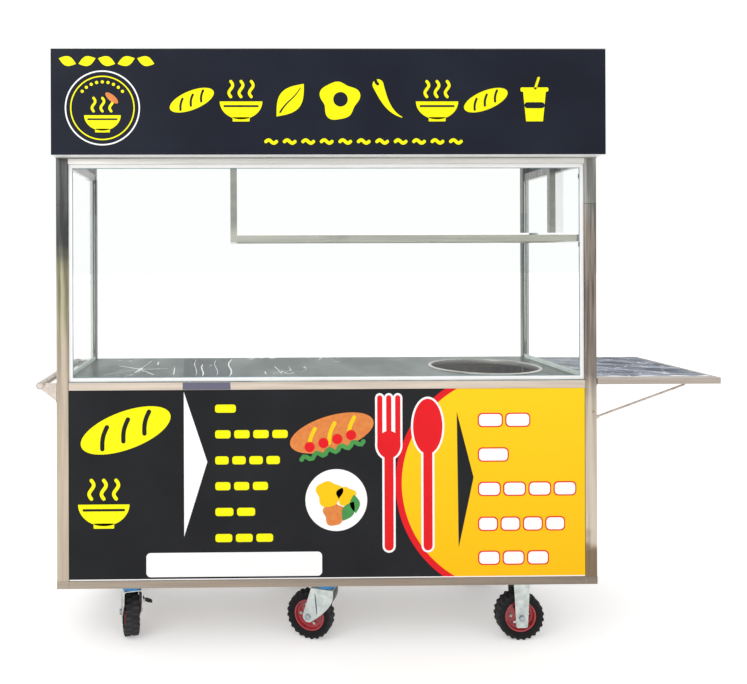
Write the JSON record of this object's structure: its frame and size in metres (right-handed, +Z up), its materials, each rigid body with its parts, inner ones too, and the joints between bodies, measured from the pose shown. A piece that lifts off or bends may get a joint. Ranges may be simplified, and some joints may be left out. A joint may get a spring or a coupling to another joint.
{
  "type": "street food cart",
  "caption": "Wheeled street food cart with a closed cabinet, glazed display case, sign box and roof, push handle and folding side shelf.",
  "frame": {"origin": "on the floor under the middle of the whole object's box", "axes": "+X to the customer's right along the cart, +Y from the customer's side to the vendor's side, +Z up"},
  "size_m": [2.2916, 0.665, 1.983],
  "materials": {
    "stainless_steel": "brushed stainless tube and sheet",
    "zinc_plated_steel": "bright zinc-plated pressed steel",
    "black_board": "satin printed board, black ground",
    "sign_navy": "satin printed sign sheet, navy black ground",
    "glass": "clear float glass with a green edge",
    "white_trim": "white glazing strip",
    "filmed_steel": "steel sheet under clear protective film",
    "black_rubber": "matt black rubber",
    "red_rim": "red stove enamel on pressed steel",
    "black_plastic": "moulded black nylon"
  },
  "bodies": {
    "cart": {"base_frame": "stainless_steel", "cabinet_floor": "stainless_steel", "front_board": "black_board", "left_side_panel": "stainless_steel", "right_side_panel": "stainless_steel", "counter_frame": "stainless_steel", "worktop": "stainless_steel", "pot_hole_rim": "stainless_steel", "front_left_post": "stainless_steel", "front_right_post": "stainless_steel", "rear_left_post": "stainless_steel", "rear_right_post": "stainless_steel", "left_roof_end": "stainless_steel", "right_roof_end": "stainless_steel", "front_window_rail": "stainless_steel", "front_roof_rail": "stainless_steel", "rear_roof_rail": "stainless_steel", "roof_sheet": "stainless_steel", "left_fascia": "sign_navy", "right_fascia": "sign_navy", "sign_box": "sign_navy", "front_glazing_frame": "white_trim", "front_glass": "glass", "left_glass_channel": "stainless_steel", "right_glass_channel": "stainless_steel", "left_end_glass": "glass", "right_end_glass": "glass", "hanging_shelf_frame": "stainless_steel", "shelf_glass": "glass", "push_handle": "stainless_steel", "shelf_hinge": "zinc_plated_steel", "front_left_caster_plate": "zinc_plated_steel", "front_middle_caster_plate": "zinc_plated_steel", "rear_left_caster_plate": "zinc_plated_steel", "rear_middle_caster_plate": "zinc_plated_steel", "front_right_fork": "zinc_plated_steel", "rear_right_fork": "zinc_plated_steel"},
    "swivel_front_left": {"front_left_fork": "zinc_plated_steel"},
    "wheel_front_left": {"front_left_rim": "red_rim", "front_left_tyre": "black_rubber"},
    "brake_front_left": {"front_left_brake_pedal": "black_plastic"},
    "swivel_front_middle": {"front_middle_fork": "zinc_plated_steel"},
    "wheel_front_middle": {"front_middle_rim": "red_rim", "front_middle_tyre": "black_rubber"},
    "wheel_front_right": {"front_right_rim": "red_rim", "front_right_tyre": "black_rubber"},
    "swivel_rear_left": {"rear_left_fork": "zinc_plated_steel"},
    "wheel_rear_left": {"rear_left_rim": "red_rim", "rear_left_tyre": "black_rubber"},
    "brake_rear_left": {"rear_left_brake_pedal": "black_plastic"},
    "swivel_rear_middle": {"rear_middle_fork": "zinc_plated_steel"},
    "wheel_rear_middle": {"rear_middle_rim": "red_rim", "rear_middle_tyre": "black_rubber"},
    "wheel_rear_right": {"rear_right_rim": "red_rim", "rear_right_tyre": "black_rubber"},
    "left_door": {"left_sliding_door": "stainless_steel"},
    "right_door": {"right_sliding_door": "stainless_steel"},
    "fold_shelf": {"folding_shelf": "filmed_steel"},
    "front_stay": {"front_shelf_stay": "zinc_plated_steel"},
    "rear_stay": {"rear_shelf_stay": "zinc_plated_steel"}
  },
  "joints": [
    {"name": "front_left_swivel", "type": "hinge", "parent": "cart", "child": "swivel_front_left", "pos_m": [-0.84025, -0.1935, 0.184], "axis": [0, 0, 1], "continuous": true},
    {"name": "front_left_wheel", "type": "hinge", "parent": "swivel_front_left", "child": "wheel_front_left", "pos_m": [-0.85309, -0.14002, 0.07956], "axis": [0.9724, 0.2334, 0], "continuous": true},
    {"name": "front_left_brake", "type": "hinge", "parent": "swivel_front_left", "child": "brake_front_left", "pos_m": [-0.80778, -0.15742, 0.128], "axis": [-0.2334, 0.9724, 0], "range_deg": [0, 22]},
    {"name": "front_middle_swivel", "type": "hinge", "parent": "cart", "child": "swivel_front_middle", "pos_m": [-0.17825, -0.1935, 0.184], "axis": [0, 0, 1], "continuous": true},
    {"name": "front_middle_wheel", "type": "hinge", "parent": "swivel_front_middle", "child": "wheel_front_middle", "pos_m": [-0.22826, -0.17061, 0.07956], "axis": [0.4163, 0.9092, 0], "continuous": true},
    {"name": "front_right_wheel", "type": "hinge", "parent": "cart", "child": "wheel_front_right", "pos_m": [0.48375, -0.1935, 0.07956], "axis": [0, 1, 0], "continuous": true},
    {"name": "rear_left_swivel", "type": "hinge", "parent": "cart", "child": "swivel_rear_left", "pos_m": [-0.84025, 0.2585, 0.184], "axis": [0, 0, 1], "continuous": true},
    {"name": "rear_left_wheel", "type": "hinge", "parent": "swivel_rear_left", "child": "wheel_rear_left", "pos_m": [-0.89441, 0.24895, 0.07956], "axis": [-0.1736, 0.9848, 0], "continuous": true},
    {"name": "rear_left_brake", "type": "hinge", "parent": "swivel_rear_left", "child": "brake_rear_left", "pos_m": [-0.87428, 0.29312, 0.128], "axis": [-0.9848, -0.1736, 0], "range_deg": [0, 22]},
    {"name": "rear_middle_swivel", "type": "hinge", "parent": "cart", "child": "swivel_rear_middle", "pos_m": [-0.17825, 0.2585, 0.184], "axis": [0, 0, 1], "continuous": true},
    {"name": "rear_middle_wheel", "type": "hinge", "parent": "swivel_rear_middle", "child": "wheel_rear_middle", "pos_m": [-0.23272, 0.26615, 0.07956], "axis": [0.1392, 0.9903, 0], "continuous": true},
    {"name": "rear_right_wheel", "type": "hinge", "parent": "cart", "child": "wheel_rear_right", "pos_m": [0.48375, 0.2585, 0.07956], "axis": [0, 1, 0], "continuous": true},
    {"name": "left_door_slide", "type": "slide", "parent": "cart", "child": "left_door", "axis": [1, 0, 0], "range_m": [0, 0.84]},
    {"name": "right_door_slide", "type": "slide", "parent": "cart", "child": "right_door", "axis": [-1, 0, 0], "range_m": [0, 0.84]},
    {"name": "shelf_fold", "type": "hinge", "parent": "cart", "child": "fold_shelf", "pos_m": [0.72975, 0.0075, 0.872], "axis": [0, 1, 0], "range_deg": [0, 90]},
    {"name": "front_stay_swing", "type": "hinge", "parent": "cart", "child": "front_stay", "pos_m": [0.72725, -0.2525, 0.768], "axis": [0, 1, 0], "range_deg": [0, 109.68]},
    {"name": "rear_stay_swing", "type": "hinge", "parent": "cart", "child": "rear_stay", "pos_m": [0.72725, 0.2595, 0.768], "axis": [0, 1, 0], "range_deg": [0, 109.68]}
  ],
  "couplings": [
    {"joint": "front_stay_swing", "follows": "shelf_fold", "ratio": 1.2186},
    {"joint": "rear_stay_swing", "follows": "shelf_fold", "ratio": 1.2186}
  ]
}
